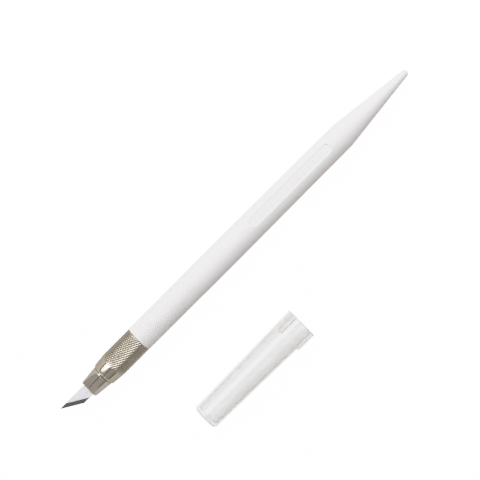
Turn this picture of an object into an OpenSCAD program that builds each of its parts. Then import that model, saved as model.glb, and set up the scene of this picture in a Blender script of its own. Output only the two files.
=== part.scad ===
// Hobby craft knife with a four-finger collet, and its push-on cap lying beside it.
// The knife's axis is the X axis: the blade points along -X and the tail along +X. +Z is up.
// The origin is on the axis, where the textured grip ends and the plain barrel begins.

/* [Barrel] */
// Length of the textured grip, from the collar to the plain barrel
grip_l = 24.7; // [18:0.1:30]
// Diameter of the textured grip
grip_d = 8.94; // [8.6:0.01:9.1]
// Length of the ramp between the textured grip and the plain barrel
ramp_l = 0.8; // [0.6:0.1:2]
// Diameter of the plain barrel
plain_d = 9.08; // [8.9:0.01:9.4]
// Length over which the plain barrel is a true cylinder
plain_band_l = 12; // [8:0.5:20]
// Distance from the origin to the shoulder where the tail begins
shoulder_x = 64.8; // [64:0.1:80]
// Diameter of the barrel at the shoulder
shoulder_d = 8.6; // [8:0.01:9]
// Radius that blends the shoulder into the tail
shoulder_r = 12; // [4:0.5:20]
// Length of the tapered tail
tail_l = 28.3; // [20:0.1:40]
// Diameter at the tail's rounded end
tail_d = 2.2; // [1.6:0.1:4]

/* [Panel] */
// Distance from the origin to the front end of the pill-shaped panel
panel_x = 24.9; // [22:0.1:27]
// Length of the panel
panel_l = 34.4; // [20:0.1:36]
// Width of the panel
panel_w = 3.2; // [2:0.1:4]
// Depth of the panel's flat floor below the barrel's surface, along the panel's middle
panel_depth = 0.45; // [0.3:0.01:0.6]

/* [Collet chuck] */
// Length of the fingers' solid part, from the nose to their roots
finger_l = 13.65; // [12:0.05:16]
// Diameter of the nose at its front
nose_d = 6; // [5.2:0.01:6.4]
// Half-angle of the cone that the collar squeezes
cone_angle = 5.9; // [4:0.1:8]
// Width of the slit that holds the blade
slit_w = 0.42; // [0.41:0.01:0.6]
// Width of the upright seam between the fingers on either side of the axis
seam_w = 0.2; // [0.1:0.01:0.42]
// Height above the axis at which the flats meet the nose
flat_h = 1.64; // [1.2:0.01:2.2]
// Slope of the flats, rising from the nose
flat_angle = 17.5; // [10:0.5:22]
// Angle by which the flats are turned about the knife's axis, away from the blade's plane
flat_turn = 4; // [0:0.5:10]
// Distance from the nose to the step where the flats end
flat_l = 5.7; // [4:0.1:6]
// Diameter of the thread behind the fingers
thread_d = 6.6; // [6:0.1:7]
// Pitch of the thread
thread_pitch = 0.75; // [0.5:0.05:1]
// Diameter of the shank pressed into the barrel
shank_d = 6; // [5:0.1:6.2]
// Length of the shank inside the barrel
shank_l = 12.5; // [8:0.5:18]

/* [Collar] */
// Length of the collar
collar_l = 15.55; // [14:0.05:17]
// Diameter of the collar over the knurl
collar_d = 9; // [8.8:0.01:9.2]
// Diameter of the collar at its front edge
collar_front_d = 7.96; // [7.8:0.01:8.4]
// Length of the cone in front of the collar's widest part
collar_cone_l = 5.3; // [4:0.1:7]

/* [Blade] */
// Width of the blade
blade_w = 4; // [3.5:0.1:4]
// Thickness of the blade
blade_t = 0.38; // [0.3:0.01:0.4]
// Length of the blade from its point to its tail
blade_l = 32; // [28:0.5:34]
// Length of the blade ahead of the nose
blade_out = 10.75; // [8:0.05:12]
// Angle between the cutting edge and the back
edge_angle = 31; // [25:1:60]
// Width of the ground bevel, across the edge
bevel_w = 1.27; // [0.6:0.01:1.4]

/* [Cap] */
// Length of the cap
cap_l = 42.15; // [38:0.05:46]
// Outside diameter of the cap at its mouth
cap_mouth_d = 10.24; // [10.1:0.01:11]
// Outside diameter of the cap at its closed end
cap_end_d = 8.64; // [8.5:0.01:9]
// Thickness of the closed end
cap_end_t = 1.1; // [0.8:0.1:2]
// Diameter of the bore at the mouth
cap_bore_d = 9.12; // [9.06:0.01:9.3]
// Depth of the bore at the mouth
cap_bore_l = 11.5; // [11:0.1:14]
// Height of the anti-roll ribs
rib_h = 0.66; // [0.4:0.01:1]
// Width of the anti-roll ribs
rib_w = 1.4; // [1:0.1:2]
// Length of the anti-roll ribs
rib_l = 6.9; // [5:0.1:9]
// Distance between the knife's axis and the cap's axis
cap_gap = 31.8; // [15:0.1:40]
// Distance from the origin to the cap's mouth, along the knife
cap_mouth_x = 14.7; // [-10:0.1:30]

/* [Assembly] */
// Angle by which the knife is rolled about its own axis
roll = 8; // [0:1:30]

/* [Hidden] */
$fn = 96;
// Clearance across every joint that slides or turns, on one side
play = 0.02;
// Gap between the fingers' roots and the sleeve
root_gap = 0.06;
// Overshoot of a cutter past the surface that it cuts
over = 1;
// Gap between the collar's rear edge and the barrel when the collar is screwed home
collar_gap = 0.05;
// Distance from the collar's front edge to the fingers' roots
root_depth = 7.3;
// Distance from the collar's front edge to the rear of the cone on the fingers
head_depth = 0.1;
// Length of the collar's conical seat behind the rear of the fingers' cone
seat_extra = 0.3;
// Radial clearance around the fingers behind the seat
relief_gap = 0.1;
// Gap between the bush and the collar's bore, along the knife
bush_gap = 0.25;
// Distance by which the collar's wide bore reaches ahead of the bush
bore_lead = 0.1;
// Depth of the thread
thread_depth = 0.25;
// Length by which the shank overlaps the threaded part
shank_overlap = 0.5;
// Gap between the shank's end and the floor of its hole
shank_end_gap = 0.3;
// Clearance around the blade in the sleeve's slot
slot_play = 0.05;
// Chamfers of the nose and of the collar's front and rear edges
nose_chamfer = 0.15;
front_chamfer = 0.25;
rear_chamfer = 0.12;
// Length by which the stems' bore reaches into the fingers' head
bore_overlap = 1;
// Half the thickness left at the cutting edge
edge_land = 0.01;
// Radius of the cap's closed-end edge, and size of the cavity's inner corner
cap_edge_r = 0.9;
cap_corner = 0.7;
// Step at the inner end of the cap's bore: its length and its height
bore_step_l = 0.5;
bore_step_h = 0.12;
// Distance by which a rib starts outside the cap's bore
rib_base = 0.2;

barrel_front_x = -grip_l;
collar_rear_x = barrel_front_x - collar_gap;
collar_front_x = collar_rear_x - collar_l;
root_x = collar_front_x + root_depth;
nose_x = root_x - finger_l;
tip_x = nose_x - blade_out;
tail_x = shoulder_x + tail_l;
blade_tail_x = tip_x + blade_l;
head_rear_x = collar_front_x + head_depth;
stem_r = 2.75;
stem_bore_r = 1.5;
nose_bore_r = 1;
bush_r = 3.93;
knurl_x = collar_front_x + collar_cone_l;
cap_wall = 0.5;
// The cap stands on the edge of its lowest rib, on the surface that the barrel rests on
rib_r = cap_mouth_d / 2 + rib_h;
rib_angles = [32, 152, 272];
rib_edge_angle = 180 - rib_angles[1] - asin(rib_w / 2 / rib_r);
cap_z = rib_r * cos(rib_edge_angle) - plain_d / 2;

white_plastic = [0.93, 0.93, 0.95];
nickel = [0.68, 0.65, 0.6];
brass = [0.78, 0.66, 0.4];
steel = [0.85, 0.85, 0.9];
milky_plastic = [0.9, 0.92, 0.94, 0.7];

// Radius of the cone that the collar squeezes, at a distance x along the knife
function cone_r(x) = nose_d / 2 + (x - nose_x) * tan(cone_angle);

// Outline of a body of revolution about the knife's axis, from a list of [x, radius] points
module turned(points) {
    rotate([0, 90, 0])
        rotate_extrude()
            polygon([for (p = points) [p[1], p[0]]]);
}

// A straight cylinder along the knife, from x0 to x1
module rod(x0, x1, r) {
    translate([x0, 0, 0])
        rotate([0, 90, 0])
            cylinder(h = x1 - x0, r = r);
}

// Everything that shares the knife's roll about its axis
module rolled() {
    rotate([-roll, 0, 0])
        children();
}

tail_angle = atan((shoulder_d - tail_d) / 2 / (tail_l - tail_d / 2));
plain_angle = atan((plain_d - shoulder_d) / 2 / (shoulder_x - plain_band_l));
bend = tail_angle - plain_angle;
blend_l = shoulder_r * tan(bend / 2);
// Points of the arc that rounds the shoulder
function shoulder_arc(inset) = let (
        steps = 6,
        start_x = shoulder_x - blend_l * cos(plain_angle),
        start_r = shoulder_d / 2 + blend_l * sin(plain_angle),
        centre_x = start_x - shoulder_r * sin(plain_angle),
        centre_r = start_r - shoulder_r * cos(plain_angle)
    ) [
        for (i = [0:steps])
            let (a = plain_angle + bend * i / steps)
                [centre_x + shoulder_r * sin(a), centre_r + shoulder_r * cos(a) - inset]
    ];

// Outer surface of the barrel up to its rounded end, moved inward by inset
function barrel_outline(inset) = concat(
    [
        [barrel_front_x, 0],
        [barrel_front_x, grip_d / 2 - inset],
        [-ramp_l, grip_d / 2 - inset],
        [0, plain_d / 2 - inset],
        [plain_band_l, plain_d / 2 - inset]
    ],
    shoulder_arc(inset),
    [
        [tail_x - tail_d / 2, tail_d / 2 - inset],
        [tail_x - tail_d / 2, 0]
    ]
);

module barrel() {
    color(white_plastic)
        difference() {
            union() {
                turned(barrel_outline(0));
                translate([tail_x - tail_d / 2, 0, 0])
                    sphere(r = tail_d / 2);
            }
            rod(barrel_front_x - over, barrel_front_x + shank_l + shank_end_gap, shank_d / 2);
            rolled()
                panel_recess();
        }
}

// The shallow recess of the panel, with a flat floor that keeps its depth along the barrel's taper
module panel_recess() {
    top_r = plain_d / 2 - (panel_x - plain_band_l) * tan(plain_angle);
    translate([panel_x, 0, top_r - panel_depth])
        rotate([0, plain_angle, 0])
            linear_extrude(height = plain_d)
                pill(0, panel_l, panel_w);
}

// A flat pill shape along X that starts at x0
module pill(x0, length, width) {
    translate([x0 + width / 2, -width / 2])
        square([length - width, width]);
    for (x = [x0 + width / 2, x0 + length - width / 2])
        translate([x, 0])
            circle(d = width);
}

// Crests and roots of the thread, as rings
function thread_points(x0, x1) = let (count = floor((x1 - x0) / thread_pitch)) [
    for (i = [0:count - 1], p = [[0, 0], [0.5, thread_depth]])
        [x0 + (i + p[0]) * thread_pitch, thread_d / 2 - p[1]]
];

module chuck_sleeve() {
    color(brass)
        rolled()
            difference() {
                union() {
                    turned(concat(
                        [[root_x, 0]],
                        thread_points(root_x, barrel_front_x),
                        [[barrel_front_x, thread_d / 2], [barrel_front_x, 0]]
                    ));
                    rod(barrel_front_x - shank_overlap, barrel_front_x + shank_l, shank_d / 2);
                }
                translate([root_x - over, -blade_w / 2 - slot_play, -slit_w / 2])
                    cube([blade_tail_x + 2 * slot_play - root_x + over, blade_w + 2 * slot_play, slit_w]);
            }
}

// The whole collet head, before it is slit into fingers
module collet_head() {
    difference() {
        turned([
            [nose_x, 0],
            [nose_x, nose_d / 2 - nose_chamfer],
            [nose_x + nose_chamfer, cone_r(nose_x + nose_chamfer)],
            [head_rear_x, cone_r(head_rear_x)],
            [head_rear_x, stem_r],
            [root_x - root_gap, stem_r],
            [root_x - root_gap, 0]
        ]);
        rod(nose_x - over, root_x, nose_bore_r);
        rod(head_rear_x - bore_overlap, root_x, stem_bore_r);
    }
}

// One of the four fingers, in the quadrant given by the signs of y and z
module finger(side_y, side_z) {
    color(nickel)
        rolled()
            mirror([0, side_y > 0 ? 0 : 1, 0])
                mirror([0, 0, side_z > 0 ? 0 : 1])
                    difference() {
                        intersection() {
                            collet_head();
                            translate([nose_x - over, seam_w / 2, slit_w / 2])
                                cube([finger_l + 2 * over, nose_d, nose_d]);
                        }
                        intersection() {
                            rotate([-flat_turn * side_y * side_z, 0, 0])
                                translate([nose_x, 0, flat_h])
                                    rotate([0, -flat_angle, 0])
                                        translate([-over, -nose_d, 0])
                                            cube([finger_l, nose_d * 2, nose_d]);
                            translate([nose_x - over, -over, 0])
                                cube([flat_l + over, nose_d, nose_d]);
                        }
                    }
}

module jaw_1() {
    finger(1, 1);
}

module jaw_2() {
    finger(-1, 1);
}

module jaw_3() {
    finger(-1, -1);
}

module jaw_4() {
    finger(1, -1);
}

module collar_bush() {
    color(brass)
        difference() {
            rod(root_x, collar_rear_x - bush_gap, bush_r);
            rod(root_x - over, collar_rear_x + over, thread_d / 2 + play);
        }
}

module collar() {
    seat_end_x = head_rear_x + seat_extra;
    bush_bore_x = root_x - bore_lead;
    relief_r = cone_r(seat_end_x) + relief_gap;
    color(nickel)
        turned([
            [collar_front_x, cone_r(collar_front_x) + play],
            [collar_front_x, collar_front_d / 2 - front_chamfer],
            [collar_front_x + front_chamfer, collar_front_d / 2],
            [knurl_x, collar_d / 2],
            [collar_rear_x - rear_chamfer, collar_d / 2],
            [collar_rear_x, collar_d / 2 - rear_chamfer],
            [collar_rear_x, bush_r + play],
            [bush_bore_x, bush_r + play],
            [bush_bore_x, relief_r],
            [seat_end_x, relief_r],
            [seat_end_x, cone_r(seat_end_x) + play]
        ]);
}

module blade() {
    heel_x = tip_x + blade_w / tan(edge_angle);
    grind_angle = atan(blade_t / 2 / bevel_w);
    color(steel)
        rolled()
            difference() {
                translate([0, 0, -blade_t / 2])
                    linear_extrude(height = blade_t)
                        polygon([
                            [tip_x, blade_w / 2],
                            [blade_tail_x, blade_w / 2],
                            [blade_tail_x, -blade_w / 2],
                            [heel_x, -blade_w / 2]
                        ]);
                for (side = [0, 1])
                    mirror([0, 0, side])
                        translate([tip_x, blade_w / 2, edge_land])
                            rotate([0, 0, -edge_angle])
                                rotate([grind_angle, 0, 0])
                                    translate([-blade_w, -blade_w, 0])
                                        cube([blade_w * 4, blade_w * 2, blade_w]);
            }
}

// Everything that belongs to the cap, placed with its mouth at the origin of its own axis
module beside() {
    translate([cap_mouth_x, -cap_gap, cap_z])
        children();
}

module cap() {
    edge_steps = 5;
    end_r = cap_end_d / 2;
    mouth_r = cap_mouth_d / 2;
    bore_r = cap_bore_d / 2;
    cavity_r = end_r - cap_wall;
    color(milky_plastic)
        beside()
            difference() {
                union() {
                    turned(concat(
                        [[-cap_l, 0]],
                        [
                            for (i = [0:edge_steps])
                                let (a = 90 * i / edge_steps)
                                    [-cap_l + cap_edge_r * (1 - cos(a)), end_r - cap_edge_r * (1 - sin(a))]
                        ],
                        [[0, mouth_r], [0, 0]]
                    ));
                    for (a = rib_angles)
                        rotate([-a, 0, 0])
                            rib();
                }
                turned([
                    [over, 0],
                    [over, bore_r],
                    [-cap_bore_l, bore_r],
                    [-cap_bore_l - bore_step_l, bore_r - bore_step_h],
                    [-cap_l + cap_end_t + cap_corner, cavity_r],
                    [-cap_l + cap_end_t, cavity_r - cap_corner],
                    [-cap_l + cap_end_t, 0]
                ]);
            }
}

// One anti-roll rib at the top of the cap's mouth, with a rounded inner end
module rib() {
    base_z = cap_bore_d / 2 + rib_base;
    intersection() {
        linear_extrude(height = cap_mouth_d)
            translate([-rib_l + rib_w / 2, 0]) {
                circle(d = rib_w);
                translate([0, -rib_w / 2])
                    square([rib_l - rib_w / 2, rib_w]);
            }
        difference() {
            rod(-rib_l, 0, rib_r);
            rod(-rib_l - over, over, base_z);
        }
    }
}

barrel();
chuck_sleeve();
jaw_1();
jaw_2();
jaw_3();
jaw_4();
collar_bush();
collar();
blade();
cap();
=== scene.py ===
import math

import bmesh
import bpy
import numpy as np
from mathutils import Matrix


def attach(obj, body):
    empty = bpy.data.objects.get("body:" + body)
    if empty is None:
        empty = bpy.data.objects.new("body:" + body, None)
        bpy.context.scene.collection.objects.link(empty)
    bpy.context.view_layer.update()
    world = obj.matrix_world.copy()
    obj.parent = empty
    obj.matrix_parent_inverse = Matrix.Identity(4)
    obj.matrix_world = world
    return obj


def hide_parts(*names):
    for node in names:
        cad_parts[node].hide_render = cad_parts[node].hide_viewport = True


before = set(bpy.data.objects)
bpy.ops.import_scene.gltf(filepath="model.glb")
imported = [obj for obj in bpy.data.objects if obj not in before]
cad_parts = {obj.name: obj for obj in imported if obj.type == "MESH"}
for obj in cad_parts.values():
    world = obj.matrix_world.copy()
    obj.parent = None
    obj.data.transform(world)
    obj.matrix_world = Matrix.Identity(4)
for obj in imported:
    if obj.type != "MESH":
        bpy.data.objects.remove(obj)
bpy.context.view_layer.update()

# Every length below is in millimetres unless its name says otherwise. Meshes are scaled to metres once.
MM = 0.001

# Angles around an axis are measured from +Z towards +Y.
ROLL = math.radians(8)
SMOOTH_ANGLE = math.radians(38)

# Barrel
FRONT_X = -24.7
GRIP_R = 4.47
RAMP_L = 0.8
PLAIN_R = 4.54
BAND_L = 12.0
SHOULDER_X = 64.8
SHOULDER_R = 4.3
SHOULDER_BLEND = 12.0
TAIL_X = 93.1
TAIL_R = 1.1
SHANK_R = 3.0
HOLE_L = 12.8
GRIP_STARTS = 34
GRIP_PERIOD = 1.47
GRIP_DEPTH = 0.08
GRIP_CREST = 0.02
GRIP_EDGE_R = 0.2
# Points per groove, around and along, in the grip's and the knurl's patterns
PATTERN_STEPS = 10
PANEL_X = 24.9
PANEL_L = 34.4
PANEL_W = 3.2
PANEL_DEPTH = 0.45
PANEL_WALL = 0.14
BAR_COUNT = 12
BAR_L = 1.3
BAR_W = 1.2
BAR_HEIGHT = 0.09
# Distance between rings along the panel, and between points across it
PANEL_ROW = 0.12
PANEL_PITCH = 0.07
# Distance from the panel's middle out to which the points are close together
PANEL_REACH = 1.9

# Collar
COLLAR_FRONT_X = -40.3
COLLAR_REAR_X = -24.75
COLLAR_FRONT_R = 3.98
COLLAR_R = 4.5
CONE_L = 5.3
CONE_BULGE = 0.09
# Distance from the collar's front edge to the first row of the knurl
KNURL_START_L = 3.72
# Length and height of the rounding at the collar's rear edge
REAR_ROUND_L = 0.25
REAR_ROUND_H = 0.14
KNURL_STARTS = 36
KNURL_PERIOD = 1.37
KNURL_DEPTH = 0.21
# Height at which the shallower family of grooves ends, as a share of a tooth
KNURL_STEP = 0.5
# Share of a tooth's height over which its crest and its root are rounded
KNURL_ROUND = 0.2
BUSH_R = 3.95

# Collet fingers
NOSE_X = -46.65
NOSE_R = 3.0
CONE_SLOPE = math.tan(math.radians(5.9))
SLIT = 0.21
SEAM = 0.1
FLAT_H = 1.64
FLAT_SLOPE = math.tan(math.radians(17.5))
HEAD_REAR_X = -40.2
ROOT_X = -33.06
FLAT_TURN = math.radians(4)
FLAT_END_X = NOSE_X + 5.7
FLAT_ROUND = 0.16
FILLET_L = 0.3
RING_END_X = -40.62
RING_DROP = 0.14
STEM_R = 2.75
STEM_BORE_R = 1.5
NOSE_BORE_R = 1.0

# Blade
TIP_X = -57.4
BLADE_TAIL_X = -25.4
BLADE_HALF_W = 2.0
BLADE_HALF_T = 0.19
EDGE_ANGLE = math.radians(31)
BEVEL_W = 1.27
# Rounding along the blade's back, and half the thickness left at its cutting edge
BACK_ROUND = 0.05
EDGE_LAND = 0.012
# Below this angle, the blade's facets are shaded as one
FACET_ANGLE = math.radians(4)

# Cap, in a frame with its mouth at the origin of its own axis
CAP_PLACE = (14.7, -31.8, 0.8545)
CAP_L = 42.15
CAP_MOUTH_R = 5.12
CAP_END_R = 4.32
CAP_EDGE_R = 0.9
CAP_END_T = 1.1
CAP_BORE_R = 4.56
CAP_BORE_L = 11.5
CAP_CAVITY_R = 3.82
CAP_CORNER = 0.7
# Step at the inner end of the cap's bore: its length and its height
BORE_STEP_L = 0.5
BORE_STEP_H = 0.12
RIB_ANGLES = [math.radians(a) for a in (32, 152, 272)]
RIB_R = 5.78
RIB_HALF_W = 0.7
RIB_L = 6.9
RIB_FLANK = 0.1

FLOOR_Z = -4.54
FLOOR_HALF_M = 3.0

# Brightness at which the picture reaches white, in scene units
PAPER_WHITE = 1.6

# Softbox, in metres and watts. It leans towards +Y by its tilt.
SOFTBOX_TILT = math.radians(29.9)
SOFTBOX_DISTANCE_M = 0.8
SOFTBOX_X_M = 0.485
SOFTBOX_SIZE_M = (1.63, 0.554)
SOFTBOX_POWER = 7.6

# Camera, looking straight down, in metres and millimetres of film
CAMERA_PLACE_M = (0.0193, -0.0004, 0.4)
CAMERA_TURN = math.radians(-45)
CAMERA_LENS = 96.5
CAMERA_FILM = 36


# ---------------------------------------------------------------- meshes

def even_angles(count):
    return np.arange(count) * 2 * math.pi / count


def dense_angles(count, sectors, pitch):
    """Even angles, with closer ones inside each (centre, half width) sector."""
    angles = list(even_angles(count))
    for centre, half in sectors:
        steps = int(round(2 * half / pitch))
        angles += [centre - half + 2 * half * i / steps for i in range(steps + 1)]
    wrapped = np.sort(np.mod(np.array(angles), 2 * math.pi))
    keep = np.concatenate([[True], np.diff(wrapped) > pitch * 0.4])
    return wrapped[keep]


def turn_from(angles, centre):
    """Signed angle from a centre, between -pi and pi."""
    return np.mod(angles - centre + math.pi, 2 * math.pi) - math.pi


class Skin:
    """A closed surface made from rings around the X axis, joined one after another."""

    def __init__(self):
        self.points = []
        self.faces = []
        self.painted_shade = []
        self.last = None

    def pole(self, x):
        index = len(self.points)
        self.points.append((x, 0.0, 0.0))
        self.painted_shade.append(0.0)
        if self.last is not None:
            first, angles = self.last
            count = len(angles)
            self.faces += [(first + i, first + (i + 1) % count, index) for i in range(count)]
        self.last = (index, None)

    def ring(self, x, angles, radius, painted_shade=0.0, split=None):
        """Adds a ring. Painted shade is how much painted shade each point gets, from 0 to 1; in the grip and
        the knurl it is how deep the point lies in a groove.
        Split says, for each quad before the ring, which diagonal cuts it into triangles."""
        first = len(self.points)
        self.painted_shade += np.broadcast_to(painted_shade, angles.shape).tolist()
        xs = np.broadcast_to(x, angles.shape)
        rs = np.broadcast_to(radius, angles.shape)
        self.points += list(zip(xs.tolist(), (rs * np.sin(angles)).tolist(), (rs * np.cos(angles)).tolist()))
        if self.last is not None:
            self.join(first, angles, split)
        self.last = (first, angles)

    def join(self, first, angles, split):
        before, old = self.last
        count = len(angles)
        if old is None:
            self.faces += [(before, first + (i + 1) % count, first + i) for i in range(count)]
        elif len(old) == count and np.allclose(old, angles):
            for i in range(count):
                j = (i + 1) % count
                corners = (before + i, before + j, first + j, first + i)
                if split is None:
                    self.faces.append(corners)
                elif split[i]:
                    self.faces += [(corners[0], corners[1], corners[3]), (corners[1], corners[2], corners[3])]
                else:
                    self.faces += [(corners[0], corners[1], corners[2]), (corners[0], corners[2], corners[3])]
        else:
            self.zip_rings(before, old, first, angles)

    def zip_rings(self, before, old, first, new):
        """Joins two rings with different numbers of points by triangles."""
        full = 2 * math.pi
        i = j = 0
        while i < len(old) or j < len(new):
            next_old = old[i + 1] if i + 1 < len(old) else full + old[0] * (i + 1 == len(old))
            next_new = new[j + 1] if j + 1 < len(new) else full + new[0] * (j + 1 == len(new))
            a = before + i % len(old)
            b = first + j % len(new)
            if j >= len(new) or (i < len(old) and next_old <= next_new):
                self.faces.append((a, before + (i + 1) % len(old), b))
                i += 1
            else:
                self.faces.append((a, first + (j + 1) % len(new), b))
                j += 1


def make_piece(name, points, faces, body, nodes, materials,
               face_slots=None, place=(0, 0, 0), painted_shade=None):
    """Turns points in millimetres into a smooth-shaded piece that rides on a body."""
    mesh = bpy.data.meshes.new(name)
    spots = (np.array(points) + np.array(place)) * MM
    mesh.from_pydata(spots.tolist(), [], faces)
    for material in materials:
        mesh.materials.append(material)
    if face_slots is not None:
        mesh.polygons.foreach_set("material_index", face_slots)
    if painted_shade is not None:
        mesh.attributes.new("painted_shade", "FLOAT", "POINT").data.foreach_set("value", painted_shade)
    clean = bmesh.new()
    clean.from_mesh(mesh)
    bmesh.ops.remove_doubles(clean, verts=clean.verts, dist=1e-7)
    bmesh.ops.dissolve_degenerate(clean, edges=clean.edges, dist=1e-7)
    bmesh.ops.recalc_face_normals(clean, faces=clean.faces)
    clean.to_mesh(mesh)
    clean.free()
    mesh.polygons.foreach_set("use_smooth", [True] * len(mesh.polygons))
    mesh.set_sharp_from_angle(angle=SMOOTH_ANGLE)
    mesh.validate()
    piece = bpy.data.objects.new(name, mesh)
    bpy.context.scene.collection.objects.link(piece)
    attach(piece, body)
    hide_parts(*nodes)
    return piece


def saw(value):
    """0 on whole numbers and 1 halfway between them."""
    return 1 - np.abs(2 * np.mod(value, 1.0) - 1)


def diamonds(x, angles, starts, period, step=0.0):
    """Height between 0 in the grooves and 1 on the crests of a diamond pattern.
    The second family of grooves reaches down to a height of step."""
    around = starts * angles / (2 * math.pi)
    along = x / period
    return np.minimum(saw(around + along), step + (1 - step) * saw(around - along))


def diamond_split(x, row, angles, starts, period, step):
    """Which diagonal follows the grooves in the quads between x - row and x."""
    around = starts * (angles + angles[1] / 2) / (2 * math.pi)
    along = (x - row / 2) / period
    return saw(around + along) < step + (1 - step) * saw(around - along)


def rounded(height, share):
    """A height between 0 and 1, with the corners at both ends replaced by short curves."""
    low = (height * height + share * share) / (2 * share)
    drop = 1 - height
    high = 1 - (drop * drop + share * share) / (2 * share)
    return np.where(height < share, low, np.where(drop < share, high, height))


def ease(value):
    bounded = np.clip(value, 0.0, 1.0)
    return bounded * bounded * (3 - 2 * bounded)


def rolled(x, y, z):
    """A point turned by the knife's roll about its axis."""
    return (x, y * math.cos(ROLL) + z * math.sin(ROLL), z * math.cos(ROLL) - y * math.sin(ROLL))


def pill_distance(along, across, length, width):
    """Signed distance to a pill shape around the origin, negative inside."""
    straight = np.maximum(np.abs(along) - (length - width) / 2, 0.0)
    return np.hypot(straight, across) - width / 2


# ---------------------------------------------------------------- barrel

def barrel_shape():
    """Radius of the plain barrel and the tail along X, as (x, radius) stations behind the panel."""
    tail_angle = math.atan((SHOULDER_R - TAIL_R) / (TAIL_X - TAIL_R - SHOULDER_X))
    plain_angle = math.atan((PLAIN_R - SHOULDER_R) / (SHOULDER_X - BAND_L))
    bend = tail_angle - plain_angle
    blend_l = SHOULDER_BLEND * math.tan(bend / 2)
    start_x = SHOULDER_X - blend_l * math.cos(plain_angle)
    start_r = SHOULDER_R + blend_l * math.sin(plain_angle)
    centre_x = start_x - SHOULDER_BLEND * math.sin(plain_angle)
    centre_r = start_r - SHOULDER_BLEND * math.cos(plain_angle)
    stations = []
    for i in range(13):
        a = plain_angle + bend * i / 12
        stations.append((centre_x + SHOULDER_BLEND * math.sin(a), centre_r + SHOULDER_BLEND * math.cos(a)))
    end_x = TAIL_X - TAIL_R
    last_x, last_r = stations[-1]
    join_x = end_x + TAIL_R * math.sin(tail_angle)
    join_r = TAIL_R * math.cos(tail_angle)
    for i in range(1, 19):
        t = i / 18
        stations.append((last_x + (join_x - last_x) * t, last_r + (join_r - last_r) * t))
    for i in range(1, 10):
        a = tail_angle + (math.pi / 2 - tail_angle) * i / 10
        stations.append((end_x + TAIL_R * math.sin(a), TAIL_R * math.cos(a)))
    return stations


def plain_radius(x):
    taper = (PLAIN_R - SHOULDER_R) / (SHOULDER_X - BAND_L)
    return PLAIN_R - max(x - BAND_L, 0.0) * taper


def panel_sink(x, angles, radius):
    """Depth of the panel below the barrel's surface, with its row of low bars, and the painted shade lines
    around both.
    """
    turn = turn_from(angles, ROLL)
    across = radius * np.sin(turn)
    outside = pill_distance(x - PANEL_X - PANEL_L / 2, across, PANEL_L, PANEL_W)
    outside = np.where(np.abs(turn) < 1, outside, PANEL_L)
    floor = (radius - PANEL_DEPTH) / np.maximum(np.cos(turn), 0.5)
    sink = (radius - floor) * ease(0.5 - outside / PANEL_WALL)
    pitch = (PANEL_L - 2 * PANEL_W) / BAR_COUNT
    first = PANEL_X + PANEL_W + pitch / 2
    index = min(max(round((x - first) / pitch), 0), BAR_COUNT - 1)
    bar = pill_distance(across, x - first - index * pitch, BAR_W + BAR_L / 2, BAR_L / 2)
    bar = np.where(np.abs(turn) < 1, bar, PANEL_L)
    # Painted shade: dark lines along the panel's wall and round each bar.
    wall_shade = 0.45 * np.exp(-(outside / PANEL_WALL) ** 2)
    bar_shade = 0.4 * np.exp(-(bar / PANEL_WALL) ** 2)
    return sink - BAR_HEIGHT * ease(0.5 - bar / PANEL_WALL), np.maximum(wall_shade, bar_shade)


def build_barrel(material):
    skin = Skin()
    few = even_angles(96)
    fine = even_angles(GRIP_STARTS * PATTERN_STEPS)
    skin.pole(FRONT_X + HOLE_L)
    skin.ring(FRONT_X + HOLE_L, few, SHANK_R)
    skin.ring(FRONT_X + GRIP_EDGE_R, few, SHANK_R)
    skin.ring(FRONT_X, few, SHANK_R + GRIP_EDGE_R)
    skin.ring(FRONT_X, fine, GRIP_R - GRIP_EDGE_R)
    for i in range(1, 4):
        a = math.pi / 2 * i / 4
        skin.ring(FRONT_X + GRIP_EDGE_R * (1 - math.cos(a)), fine, GRIP_R - GRIP_EDGE_R * (1 - math.sin(a)))
    rows = int((-FRONT_X - GRIP_EDGE_R) / (GRIP_PERIOD / PATTERN_STEPS))
    for i in range(rows + 1):
        x = FRONT_X + GRIP_EDGE_R + i * GRIP_PERIOD / PATTERN_STEPS
        fade = ease((x - FRONT_X - GRIP_EDGE_R) / 0.4) * ease(-x / 0.5)
        base = GRIP_R + (PLAIN_R - GRIP_R) * max(x / RAMP_L + 1, 0.0)
        lattice = np.minimum(diamonds(x, fine, GRIP_STARTS, GRIP_PERIOD) * 1.25, 1.0)
        deep = fade * (1 - lattice)
        # The groove depth doubles as painted shade in the grip's grooves.
        skin.ring(x, fine, min(base + GRIP_CREST * fade, PLAIN_R) - GRIP_DEPTH * deep, deep)
    panel_angles = dense_angles(96, [(ROLL, PANEL_REACH / PLAIN_R)], PANEL_PITCH / PLAIN_R)
    for x in (0.0, 0.15, 6.0, 12.0, 18.0, 23.0):
        skin.ring(x, panel_angles, plain_radius(x))
    for x in np.arange(PANEL_X - 0.3, PANEL_X + PANEL_L + 0.31, PANEL_ROW):
        radius = plain_radius(x)
        sink, shade_line = panel_sink(x, panel_angles, radius)
        # The panel's lines are painted shade.
        skin.ring(x, panel_angles, radius - sink, shade_line)
    for x, radius in barrel_shape():
        skin.ring(x, few, radius)
    skin.pole(TAIL_X)
    make_piece("barrel_body", skin.points, skin.faces, "barrel", ["barrel"], [material],
               painted_shade=skin.painted_shade)


# ---------------------------------------------------------------- collar and chuck

def cone_radius(x):
    return NOSE_R + (x - NOSE_X) * CONE_SLOPE


def collar_radius(x):
    """Outer radius of the collar: a slightly bulging cone, then a cylinder."""
    share = min((x - COLLAR_FRONT_X) / CONE_L, 1.0)
    return COLLAR_FRONT_R + (COLLAR_R - COLLAR_FRONT_R) * share + CONE_BULGE * share * (1 - share)


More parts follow.
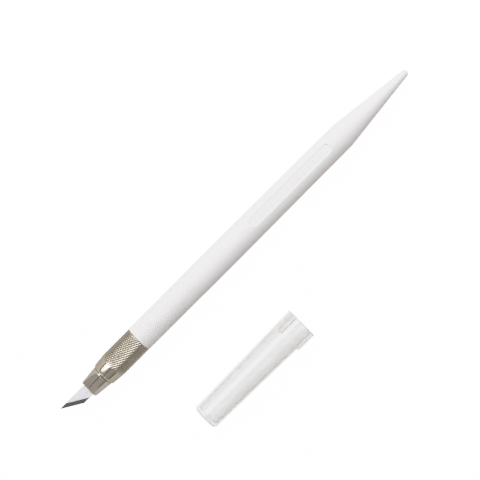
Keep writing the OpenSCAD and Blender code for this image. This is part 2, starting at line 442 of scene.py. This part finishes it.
def build_collar(material):
    skin = Skin()
    few = even_angles(120)
    fine = even_angles(KNURL_STARTS * PATTERN_STEPS)
    seat_end = HEAD_REAR_X + 0.3
    bore_x = ROOT_X - 0.04
    relief = cone_radius(seat_end) + 0.1
    mouth = cone_radius(COLLAR_FRONT_X) + 0.02
    inner = [
        (COLLAR_REAR_X - 0.1, BUSH_R),
        (bore_x, BUSH_R),
        (bore_x, relief),
        (seat_end, relief),
        (seat_end, cone_radius(seat_end) + 0.02),
        (COLLAR_FRONT_X + 0.1, mouth + 0.01),
        (COLLAR_FRONT_X, mouth + 0.08),
        (COLLAR_FRONT_X + 0.02, COLLAR_FRONT_R - 0.22),
        (COLLAR_FRONT_X + 0.23, COLLAR_FRONT_R - 0.01),
        (COLLAR_FRONT_X + 0.3, collar_radius(COLLAR_FRONT_X + 0.3)),
    ]
    for x, radius in inner:
        skin.ring(x, few, radius)
    for i in range(1, 10):
        x = COLLAR_FRONT_X + 0.3 + 0.37 * i
        skin.ring(x, few, collar_radius(x))
    row = KNURL_PERIOD / PATTERN_STEPS
    first_row = math.ceil((COLLAR_FRONT_X + KNURL_START_L) / row)
    last_row = math.floor((COLLAR_REAR_X - 0.03) / row)
    for i in range(first_row, last_row + 1):
        x = i * row
        rounding = ease((x - COLLAR_REAR_X + REAR_ROUND_L) / REAR_ROUND_L) * REAR_ROUND_H
        base = min(collar_radius(x), COLLAR_R - rounding)
        pattern = rounded(diamonds(x, fine, KNURL_STARTS, KNURL_PERIOD, KNURL_STEP), KNURL_ROUND)
        split = diamond_split(x, row, fine, KNURL_STARTS, KNURL_PERIOD, KNURL_STEP)
        radius = np.minimum(base, COLLAR_R - KNURL_DEPTH * (1 - pattern))
        # The groove depth is passed on as painted shade, which darkens the knurl's grooves.
        skin.ring(x, fine, radius, (base - radius) / KNURL_DEPTH, split)
    skin.ring(COLLAR_REAR_X, few, COLLAR_R - 0.25)
    skin.ring(COLLAR_REAR_X, few, BUSH_R + 0.1)
    skin.ring(COLLAR_REAR_X - 0.1, few, BUSH_R)
    make_piece("collar_knurled", skin.points, skin.faces, "collar", ["collar"], [material],
               painted_shade=skin.painted_shade)


def flat_distance(x, outer):
    """Distance of a flat from the axis, with the fillet that ends it."""
    plane = FLAT_H + (x - NOSE_X) * FLAT_SLOPE
    along = min(max((x - FLAT_END_X) / FILLET_L + 1, 0.0), 1.0)
    return plane + (outer - plane) * (1 - math.sqrt(1 - along * along))


def finger_section(x, inset, outer, bore, turn):
    """Outline of one finger in its own quadrant, as (y, z) points."""
    slit = SLIT + inset
    seam = SEAM + inset
    outer = outer - inset
    bore = bore + inset
    start = math.asin(slit / outer)
    stop = math.acos(seam / outer)
    if x < FLAT_END_X:
        stop = min(stop, math.pi / 2 - turn - math.acos(min((flat_distance(x, outer) - inset) / outer, 1.0)))
    points = []
    corner_y = outer * math.cos(stop)
    corner_z = outer * math.sin(stop)
    cut = min(FLAT_ROUND, (corner_y - seam) / 3)
    stop_round = max(stop - cut / outer, start + 0.01)
    for i in range(15):
        a = start + (stop_round - start) * i / 14
        points.append((outer * math.cos(a), outer * math.sin(a)))
    edge_y = corner_y - cut
    edge_z = corner_z + cut * math.tan(turn)
    arc_y, arc_z = points[-1]
    for t in (1 / 3, 2 / 3):
        side_y = arc_y * (1 - t) ** 2 + 2 * corner_y * t * (1 - t) + edge_y * t * t
        side_z = arc_z * (1 - t) ** 2 + 2 * corner_z * t * (1 - t) + edge_z * t * t
        points.append((side_y, side_z))
    for t in (0.0, 0.1, 0.5, 0.9, 1.0):
        y = edge_y + (seam - edge_y) * t
        points.append((y, corner_z + (corner_y - y) * math.tan(turn)))
    top_z = points[-1][1]
    low = math.sqrt(bore * bore - seam * seam)
    for t in (0.1, 0.5, 0.9):
        points.append((seam, top_z + (low - top_z) * t))
    bore_stop = math.acos(seam / bore)
    bore_start = math.asin(slit / bore)
    for i in range(9):
        a = bore_stop + (bore_start - bore_stop) * i / 8
        points.append((bore * math.cos(a), bore * math.sin(a)))
    reach = math.sqrt(outer * outer - slit * slit)
    low_y = points[-1][0]
    for t in (0.1, 0.5, 0.9):
        points.append((low_y + (reach - low_y) * t, slit))
    return points


def build_finger(name, side_y, side_z, material):
    """One finger, lofted through sections given as (x, inset, outer radius, bore radius)."""
    stations = [
        (NOSE_X, 0.06, NOSE_R - 0.1),
        (NOSE_X + 0.02, 0.02, NOSE_R - 0.09),
        (NOSE_X + 0.06, 0.0, NOSE_R - 0.06),
        (NOSE_X + 0.18, 0.0, cone_radius(NOSE_X + 0.18)),
    ]
    flat = list(np.linspace(NOSE_X + 0.6, FLAT_END_X - FILLET_L - 0.3, 10))
    fillet = [FLAT_END_X - FILLET_L * (1 - t) for t in (0.0, 0.3, 0.55, 0.75, 0.88, 0.96, 0.995)]
    for x in flat + fillet + [FLAT_END_X, RING_END_X]:
        stations.append((x, 0.0, cone_radius(x)))
    for x in (RING_END_X + RING_DROP, COLLAR_FRONT_X + 0.05, HEAD_REAR_X):
        stations.append((x, 0.0, cone_radius(x) - RING_DROP))
    stations = [(x, inset, outer, NOSE_BORE_R) for x, inset, outer in stations]
    stations.append((HEAD_REAR_X + 0.001, 0.0, STEM_R, STEM_BORE_R))
    stations.append((ROOT_X, 0.0, STEM_R, STEM_BORE_R))
    points = []
    faces = []
    for x, inset, outer, bore in stations:
        for y, z in finger_section(x, inset, outer, bore, FLAT_TURN * side_y * side_z):
            points.append(rolled(x, y * side_y, z * side_z))
    count = len(points) // len(stations)
    for k in range(len(stations) - 1):
        for i in range(count):
            j = (i + 1) % count
            faces.append((k * count + i, k * count + j, (k + 1) * count + j, (k + 1) * count + i))
    faces.append(tuple(range(count)))
    faces.append(tuple((len(stations) - 1) * count + i for i in range(count)))
    make_piece("finger_" + name[-1], points, faces, name, [name], [material])


# ---------------------------------------------------------------- blade

def build_blade(face_material, bevel_material):
    """A flat blade with a ground bevel on both sides of its slanting edge."""
    slope = math.tan(EDGE_ANGLE)
    top = BLADE_HALF_W
    heel_x = TIP_X + 2 * top / slope
    bevel_x = BEVEL_W / math.sin(EDGE_ANGLE)
    points = []
    faces = []
    slots = []

    def place(x, y, z):
        points.append(rolled(x, y, z))
        return len(points) - 1

    tip = [place(TIP_X, top - BACK_ROUND, side * EDGE_LAND) for side in (1, -1)]
    heel = [place(heel_x, -top, side * EDGE_LAND) for side in (1, -1)]
    rings = {}
    for side in (1, -1):
        t = side * BLADE_HALF_T
        rings[side] = {
            "bevel_top": place(TIP_X + bevel_x, top - BACK_ROUND, t),
            "bevel_low": place(heel_x + bevel_x, -top, t),
            "tail_top": place(BLADE_TAIL_X, top - BACK_ROUND, t),
            "tail_low": place(BLADE_TAIL_X, -top, t),
            "back_tip": place(TIP_X + 0.03, top, side * EDGE_LAND * 0.5),
            "back_bevel": place(TIP_X + bevel_x, top, t * 0.75),
            "back_tail": place(BLADE_TAIL_X, top, t * 0.75),
        }
    for index, side in enumerate((1, -1)):
        ring = rings[side]
        faces.append((tip[index], heel[index], ring["bevel_low"], ring["bevel_top"]))
        slots.append(1)
        faces.append((ring["bevel_top"], ring["bevel_low"], ring["tail_low"], ring["tail_top"]))
        slots.append(0)
        faces.append((ring["bevel_top"], ring["tail_top"], ring["back_tail"], ring["back_bevel"]))
        slots.append(0)
        faces.append((tip[index], ring["bevel_top"], ring["back_bevel"], ring["back_tip"]))
        slots.append(0)
    up, down = rings[1], rings[-1]
    closing = [
        (tip[0], tip[1], heel[1], heel[0]),
        (heel[0], heel[1], down["bevel_low"], up["bevel_low"]),
        (up["bevel_low"], down["bevel_low"], down["tail_low"], up["tail_low"]),
        (up["tail_low"], down["tail_low"], down["tail_top"],
         down["back_tail"], up["back_tail"], up["tail_top"]),
        (up["back_tail"], down["back_tail"], down["back_bevel"], up["back_bevel"]),
        (up["back_bevel"], down["back_bevel"], down["back_tip"], up["back_tip"]),
        (up["back_tip"], down["back_tip"], tip[1], tip[0]),
    ]
    faces += closing
    slots += [1] + [0] * (len(closing) - 1)
    piece = make_piece("blade_steel", points, faces, "blade", ["blade"],
                       [face_material, bevel_material], slots)
    piece.data.set_sharp_from_angle(angle=FACET_ANGLE)


# ---------------------------------------------------------------- cap

def rib_rise(x, angles, wall):
    """Outer radius of the cap's wall with its three ribs, and the shade on each rib and around its foot."""
    radius = np.full(angles.shape, wall)
    shade_line = np.zeros(angles.shape)
    for centre in RIB_ANGLES:
        across = turn_from(angles, centre) * CAP_MOUTH_R
        along = np.full(angles.shape, x)
        straight = np.maximum(-(along + RIB_L - RIB_HALF_W), 0.0)
        outside = np.hypot(straight, across) - RIB_HALF_W
        lift = ease(-outside / RIB_FLANK)
        radius = np.maximum(radius, wall + (RIB_R - wall) * lift)
        foot = 0.8 * np.exp(-(outside / 0.12) ** 2)
        shade_line = np.maximum(shade_line, np.maximum(foot, 0.35 * lift))
    return radius, shade_line


def build_cap(material):
    skin = Skin()
    few = even_angles(120)
    sector = [(centre, 0.95 / CAP_MOUTH_R) for centre in RIB_ANGLES]
    ribbed = dense_angles(96, sector, 0.05 / CAP_MOUTH_R)

    def wall(x):
        return CAP_MOUTH_R + x * (CAP_MOUTH_R - CAP_END_R) / CAP_L

    skin.pole(-CAP_L + 0.05)
    # The last number on these rings is painted shade: a dark outline round the closed end, fading over its
    # rounding.
    skin.ring(-CAP_L + 0.05, few, 0.35, 1.0)
    skin.ring(-CAP_L, few, 0.5, 0.5)
    skin.ring(-CAP_L, few, CAP_END_R - CAP_EDGE_R, 0.8)
    for i in range(1, 11):
        a = math.pi / 2 * i / 10
        shade_line = 0.8 * (1 - i / 10)
        x = -CAP_L + CAP_EDGE_R * (1 - math.cos(a))
        skin.ring(x, few, CAP_END_R - CAP_EDGE_R * (1 - math.sin(a)), shade_line)
    for x in (-CAP_L + 1.1, -CAP_L + 1.4):
        skin.ring(x, few, wall(x), 0.0)
    for x in np.linspace(-CAP_L + 3, -RIB_L - 0.6, 12):
        skin.ring(x, few, wall(x))
    for x in list(np.arange(-RIB_L - 0.2, -RIB_L + 1.0, 0.05)) + list(np.linspace(-5.8, -0.4, 8)):
        radius, shade_line = rib_rise(x, ribbed, wall(x))
        skin.ring(x, ribbed, radius, shade_line)
    # The mouth's edge carries a full line of painted shade.
    for drop, x in ((0.0, -0.2), (0.03, -0.05), (0.1, -0.01), (0.14, 0.0)):
        radius = rib_rise(-1.0, ribbed, wall(x))[0]
        skin.ring(x, ribbed, radius - drop, 1.0)
    skin.ring(0.0, few, CAP_BORE_R + 0.1)
    skin.ring(-0.03, few, CAP_BORE_R + 0.03)
    skin.ring(-0.12, few, CAP_BORE_R)
    skin.ring(-CAP_BORE_L, few, CAP_BORE_R)
    skin.ring(-CAP_BORE_L - BORE_STEP_L, few, CAP_BORE_R - BORE_STEP_H)
    floor_x = -CAP_L + CAP_END_T
    for t in (0.25, 0.5, 0.75, 1.0):
        x = -CAP_BORE_L - BORE_STEP_L + (floor_x + CAP_CORNER + CAP_BORE_L + BORE_STEP_L) * t
        skin.ring(x, few, CAP_BORE_R - BORE_STEP_H + (CAP_CAVITY_R - CAP_BORE_R + BORE_STEP_H) * t)
    for i in range(1, 7):
        a = math.pi / 2 * i / 6
        x = floor_x + CAP_CORNER * (1 - math.sin(a))
        skin.ring(x, few, CAP_CAVITY_R - CAP_CORNER * (1 - math.cos(a)))
    skin.ring(floor_x, few, 1.0)
    skin.pole(floor_x)
    make_piece("cap_shell", skin.points, skin.faces, "cap", ["cap"], [material],
               place=CAP_PLACE, painted_shade=skin.painted_shade)


# ---------------------------------------------------------------- materials

class Graph:
    """Short calls for building a node tree."""

    def __init__(self, tree):
        self.tree = tree
        tree.nodes.clear()

    def node(self, kind, settings=None, **sockets):
        item = self.tree.nodes.new("ShaderNode" + kind)
        for key, value in (settings or {}).items():
            setattr(item, key, value)
        for name, value in sockets.items():
            self.feed(item.inputs[name.replace("_", " ")], value)
        return item

    def feed(self, socket, value):
        if isinstance(value, bpy.types.NodeSocket):
            self.tree.links.new(value, socket)
        else:
            socket.default_value = value

    def maths(self, operation, first, second=0.0):
        item = self.node("Math", {"operation": operation})
        self.feed(item.inputs[0], first)
        self.feed(item.inputs[1], second)
        return item.outputs[0]

    def between(self, value, low, high, out_low, out_high):
        item = self.node("MapRange", Value=value, From_Min=low, From_Max=high,
                         To_Min=out_low, To_Max=out_high)
        return item.outputs[0]

    def mix(self, share, first, second):
        item = self.node("Mix", {"data_type": "RGBA"})
        for index, value in ((0, share), (6, first), (7, second)):
            self.feed(item.inputs[index], value)
        return item.outputs[2]

    def place(self, scale):
        """Object coordinates in metres, stretched by a scale per axis."""
        source = self.node("TexCoord").outputs["Object"]
        return self.node("Mapping", Vector=source, Scale=scale).outputs[0]

    def noise(self, scale, detail=3.0):
        """Noise with its number of features per millimetre given for each axis."""
        spots = self.place([value / MM for value in scale])
        return self.node("TexNoise", Vector=spots, Scale=1.0, Detail=detail).outputs["Fac"]

    def bump(self, height, distance_mm, strength=1.0):
        return self.node("Bump", Height=height, Distance=distance_mm * MM, Strength=strength).outputs[0]

    def painted_shade(self):
        return self.node("Attribute", {"attribute_name": "painted_shade"}).outputs["Fac"]

    def finish(self, shader):
        self.tree.links.new(shader, self.node("OutputMaterial").inputs["Surface"])


def new_graph(name):
    material = bpy.data.materials.new(name)
    material.use_nodes = True
    return material, Graph(material.node_tree)


def white_plastic():
    """Satin white moulding: faint lavender tint, slow tone changes, fine grain, painted shade in the grip's
    grooves and along the panel's outline and bars.
    """
    material, graph = new_graph("white_plastic_moulded")
    tone = graph.between(graph.noise((0.05, 0.2, 0.2)), 0.3, 0.7, 0.0, 1.0)
    colour = graph.mix(tone, (0.93, 0.927, 0.975, 1), (0.905, 0.902, 0.955, 1))
    # Painted shade: greyer where the grip's grooves and the panel's outline and bars carry painted shade.
    painted_shade = graph.between(graph.painted_shade(), 0.2, 1.0, 0.0, 0.2)
    colour = graph.mix(painted_shade, colour, (0.72, 0.71, 0.74, 1))
    grain = graph.noise((5.0, 5.0, 5.0), 4.0)
    rough = graph.between(grain, 0.3, 0.7, 0.49, 0.55)
    shader = graph.node("BsdfPrincipled", Base_Color=colour, Roughness=rough, Specular_IOR_Level=0.45,
                        Normal=graph.bump(grain, 0.0004))
    graph.finish(shader.outputs[0])
    return material


def nickel(name, tint, smooth):
    """Bright nickel plate: turning lines around the axis, worn crests, painted shade in the deeper part of
    the knurl's grooves.
    """
    material, graph = new_graph(name)
    lines = graph.noise((14.0, 0.15, 0.15), 2.0)
    cloud = graph.noise((0.4, 0.5, 0.5), 3.0)
    # Painted shade: the deeper part of each knurl groove turns dark brown, and is rougher there.
    painted_shade = graph.between(graph.painted_shade(), 0.35, 1.0, 0.0, 0.75)
    worn = graph.between(graph.painted_shade(), 0.02, 0.2, 0.15, 0.0)
    dull = tuple(value * 0.86 for value in tint[:3]) + (1,)
    colour = graph.mix(graph.between(cloud, 0.35, 0.7, 0.0, 1.0), tint, dull)
    colour = graph.mix(painted_shade, colour, (0.16, 0.145, 0.12, 1))
    colour = graph.mix(worn, colour, (0.8, 0.77, 0.72, 1))
    rough = graph.between(lines, 0.3, 0.7, smooth - 0.03, smooth + 0.05)
    rough = graph.maths("ADD", rough, graph.maths("MULTIPLY", painted_shade, 0.3))
    shader = graph.node("BsdfPrincipled", Base_Color=colour, Metallic=1.0, Roughness=rough,
                        Normal=graph.bump(lines, 0.0004))
    graph.finish(shader.outputs[0])
    return material


def brass():
    """Turned brass for the parts inside the knife."""
    material, graph = new_graph("brass_turned")
    lines = graph.noise((9.0, 0.2, 0.2), 2.0)
    cloud = graph.noise((0.5, 0.7, 0.7), 3.0)
    colour = graph.mix(cloud, (0.72, 0.52, 0.26, 1), (0.58, 0.42, 0.22, 1))
    rough = graph.between(lines, 0.3, 0.7, 0.22, 0.4)
    shader = graph.node("BsdfPrincipled", Base_Color=colour, Metallic=1.0, Roughness=rough,
                        Normal=graph.bump(lines, 0.003))
    graph.finish(shader.outputs[0])
    return material


def blade_face():
    """Satin steel with faint streaks along the blade."""
    material, graph = new_graph("blade_satin")
    lines = graph.noise((0.2, 2.5, 2.5), 2.0)
    cloud = graph.noise((0.2, 0.4, 0.4), 2.0)
    colour = graph.mix(cloud, (0.55, 0.535, 0.585, 1), (0.515, 0.505, 0.55, 1))
    rough = graph.between(lines, 0.3, 0.7, 0.41, 0.45)
    shader = graph.node("BsdfPrincipled", Base_Color=colour, Metallic=1.0, Roughness=rough,
                        Normal=graph.bump(lines, 0.00002))
    graph.finish(shader.outputs[0])
    return material


def blade_bevel():
    """Ground steel with lines that run along the edge, coloured darker than the face partly for its ground
    finish and partly as painted shade for the dark reflection the bevel shows.
    """
    material, graph = new_graph("blade_ground")
    source = graph.node("TexCoord").outputs["Object"]
    turned = graph.node("VectorRotate", {"rotation_type": "Z_AXIS"}, Vector=source, Angle=EDGE_ANGLE)
    spots = graph.node("Mapping", Vector=turned.outputs[0], Scale=[250, 9000, 9000]).outputs[0]
    lines = graph.node("TexNoise", Vector=spots, Scale=1.0, Detail=3.0).outputs["Fac"]
    shade = graph.between(lines, 0.3, 0.7, 0.0, 1.0)
    # Painted shade: the dark steel colour stands in partly for the dark reflection on the bevel.
    colour = graph.mix(shade, (0.2, 0.205, 0.19, 1), (0.3, 0.305, 0.285, 1))
    rough = graph.between(lines, 0.3, 0.7, 0.1, 0.16)
    shader = graph.node("BsdfPrincipled", Base_Color=colour, Metallic=1.0, Roughness=rough,
                        Normal=graph.bump(lines, 0.00008))
    graph.finish(shader.outputs[0])
    return material


def milky_plastic():
    """Thin translucent moulding: partly clear when seen face on, denser at its limbs, and greyer and denser
    where painted shade lies along its ribs and round its closed end and mouth.
    """
    material, graph = new_graph("milky_translucent")
    streak = graph.noise((0.08, 0.9, 0.9), 3.0)
    grain = graph.noise((3.0, 3.0, 3.0), 3.0)
    tone = graph.mix(streak, (0.935, 0.94, 0.955, 1), (0.96, 0.965, 0.975, 1))
    # Painted shade: rib feet, rib tops, the closed end's outline and the mouth's edge turn greyer and less
    # clear.
    outline_shade = graph.between(graph.painted_shade(), 0.1, 1.0, 0.0, 1.0)
    tone = graph.mix(graph.maths("MULTIPLY", outline_shade, 0.5), tone, (0.7, 0.71, 0.74, 1))
    normal = graph.bump(grain, 0.0001)
    diffuse = graph.node("BsdfDiffuse", Color=tone, Normal=normal).outputs[0]
    glow = graph.node("BsdfTranslucent", Color=tone, Normal=normal).outputs[0]
    body = graph.node("MixShader", Fac=0.2)
    graph.feed(body.inputs[1], diffuse)
    graph.feed(body.inputs[2], glow)
    clear = graph.node("BsdfTransparent", Color=(0.978, 0.98, 0.985, 1)).outputs[0]
    facing = graph.node("LayerWeight", Blend=0.5).outputs["Facing"]
    share = graph.between(facing, 0.2, 0.9, 0.28, 0.48)
    share = graph.maths("ADD", share, graph.maths("MULTIPLY", outline_shade, 0.35))
    thick = graph.node("MixShader", Fac=share)
    graph.feed(thick.inputs[1], clear)
    graph.feed(thick.inputs[2], body.outputs[0])
    gloss = graph.node("BsdfGlossy", Color=(1, 1, 1, 1), Roughness=graph.between(grain, 0.3, 0.7, 0.2, 0.26),
                       Normal=normal).outputs[0]
    rim = graph.node("Fresnel", IOR=1.6, Normal=normal).outputs[0]
    surface = graph.node("MixShader", Fac=graph.maths("MINIMUM", rim, 0.09))
    graph.feed(surface.inputs[1], thick.outputs[0])
    graph.feed(surface.inputs[2], gloss)
    graph.finish(surface.outputs[0])
    return material


def dress_node(name, material):
    """Gives a CAD node that stays visible its own procedural finish."""
    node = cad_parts[name]
    node.data.materials.clear()
    node.data.materials.append(material)


# ---------------------------------------------------------------- stage, light and camera

def build_floor():
    mesh = bpy.data.meshes.new("floor")
    half = FLOOR_HALF_M
    level = FLOOR_Z * MM
    mesh.from_pydata([(-half, -half, level), (half, -half, level), (half, half, level), (-half, half, level)],
                     [], [(0, 1, 2, 3)])
    floor = bpy.data.objects.new("floor", mesh)
    bpy.context.scene.collection.objects.link(floor)
    material, graph = new_graph("floor_paper")
    grain = graph.noise((0.6, 0.6, 0.6), 4.0)
    paper = graph.mix(grain, (0.66, 0.65, 0.63, 1), (0.69, 0.68, 0.66, 1))
    diffuse = graph.node("BsdfDiffuse", Color=paper).outputs[0]
    white = graph.node("Emission", Color=(1, 1, 1, 1), Strength=PAPER_WHITE * 1.05).outputs[0]
    seen = graph.node("LightPath").outputs["Is Camera Ray"]
    mixed = graph.node("MixShader", Fac=graph.maths("MULTIPLY", seen, 0.95))
    graph.feed(mixed.inputs[1], diffuse)
    graph.feed(mixed.inputs[2], white)
    graph.finish(mixed.outputs[0])
    mesh.materials.append(material)


def build_world():
    """A dim room with a bright band at the horizon, and a white backdrop that only the camera sees."""
    world = bpy.data.worlds.new("room")
    world.use_nodes = True
    bpy.context.scene.world = world
    graph = Graph(world.node_tree)
    parts = graph.node("SeparateXYZ", Vector=graph.node("TexCoord").outputs["Generated"])
    height = graph.maths("ADD", parts.outputs["Z"], graph.maths("MULTIPLY", parts.outputs["Y"], -0.13))
    height = graph.maths("MULTIPLY", height, 0.95)
    ramp = graph.node("ValToRGB", Fac=height)
    stops = [
        (0.0, (0.72, 0.67, 0.6, 1)),
        (0.36, (0.69, 0.64, 0.565, 1)),
        (0.38, (0.14, 0.13, 0.115, 1)),
        (0.6, (0.32, 0.3, 0.272, 1)),
        (0.915, (0.46, 0.44, 0.41, 1)),
        (0.945, (0.13, 0.125, 0.12, 1)),
    ]
    elements = ramp.color_ramp.elements
    while len(elements) < len(stops):
        elements.new(0.5)
    for element, (position, colour) in zip(elements, stops):
        element.position = position
        element.color = colour
    # A dark gap runs overhead along X, and the wall ahead of the blade is brighter.
    off_gap = graph.maths("ABSOLUTE", graph.maths("ADD", parts.outputs["Y"], 0.14))
    gap = graph.between(off_gap, 0.04, 0.1, 0.4, 1.0)
    wall = graph.between(parts.outputs["X"], -0.75, -0.5, 1.6, 1.0)
    strength = graph.maths("MULTIPLY", gap, wall)
    room = graph.node("Background", Color=ramp.outputs[0], Strength=strength).outputs[0]
    white = graph.node("Background", Color=(1, 1, 1, 1), Strength=PAPER_WHITE).outputs[0]
    mixed = graph.node("MixShader", Fac=graph.node("LightPath").outputs["Is Camera Ray"])
    graph.feed(mixed.inputs[1], room)
    graph.feed(mixed.inputs[2], white)
    graph.tree.links.new(mixed.outputs[0], graph.node("OutputWorld").inputs["Surface"])


def build_softbox():
    """One large softbox, overhead on the +Y side."""
    light = bpy.data.lights.new("softbox", "AREA")
    light.shape = "RECTANGLE"
    light.size, light.size_y = SOFTBOX_SIZE_M
    light.energy = SOFTBOX_POWER
    light.color = (0.985, 0.985, 1.0)
    holder = bpy.data.objects.new("softbox", light)
    bpy.context.scene.collection.objects.link(holder)
    side = SOFTBOX_DISTANCE_M * math.sin(SOFTBOX_TILT)
    up = SOFTBOX_DISTANCE_M * math.cos(SOFTBOX_TILT)
    holder.location = (SOFTBOX_X_M, side, up)
    holder.rotation_euler = (-SOFTBOX_TILT, 0.0, 0.0)


def build_camera():
    data = bpy.data.cameras.new("camera")
    data.sensor_width = CAMERA_FILM
    data.lens = CAMERA_LENS
    data.clip_start = 0.01
    camera = bpy.data.objects.new("camera", data)
    camera.location = CAMERA_PLACE_M
    camera.rotation_euler = (0.0, 0.0, CAMERA_TURN)
    bpy.context.scene.collection.objects.link(camera)
    bpy.context.scene.camera = camera


def set_exposure():
    """A plain response up to light grey, then a soft shoulder that reaches white at the paper."""
    settings = bpy.context.scene.view_settings
    settings.view_transform = "Standard"
    settings.use_curve_mapping = True
    mapping = settings.curve_mapping
    mapping.white_level = (PAPER_WHITE, PAPER_WHITE, PAPER_WHITE)
    curve = mapping.curves[3]
    curve.points[0].location = (0.0, 0.0)
    curve.points[1].location = (1.0, 0.99)
    for scene_value, shown in ((0.35, 0.35), (0.7, 0.7), (0.85, 0.82), (1.0, 0.872), (1.28, 0.915)):
        curve.points.new(scene_value / PAPER_WHITE, shown)
    mapping.update()


# ---------------------------------------------------------------- the knife

plated = nickel("nickel_turned", (0.66, 0.61, 0.53, 1), 0.08)
# The fingers' nickel is lighter than the collar's; part of the extra lightness is painted reflection for
# their flats.
jaw_plate = nickel("nickel_fingers", (0.71, 0.68, 0.635, 1), 0.09)
turned_brass = brass()

build_barrel(white_plastic())
build_collar(plated)
for jaw, side_y, side_z in (("jaw_1", 1, 1), ("jaw_2", -1, 1), ("jaw_3", -1, -1), ("jaw_4", 1, -1)):
    build_finger(jaw, side_y, side_z, jaw_plate)
build_blade(blade_face(), blade_bevel())
build_cap(milky_plastic())
dress_node("chuck_sleeve", turned_brass)
dress_node("collar_bush", turned_brass)

build_floor()
build_world()
build_softbox()
build_camera()
set_exposure()
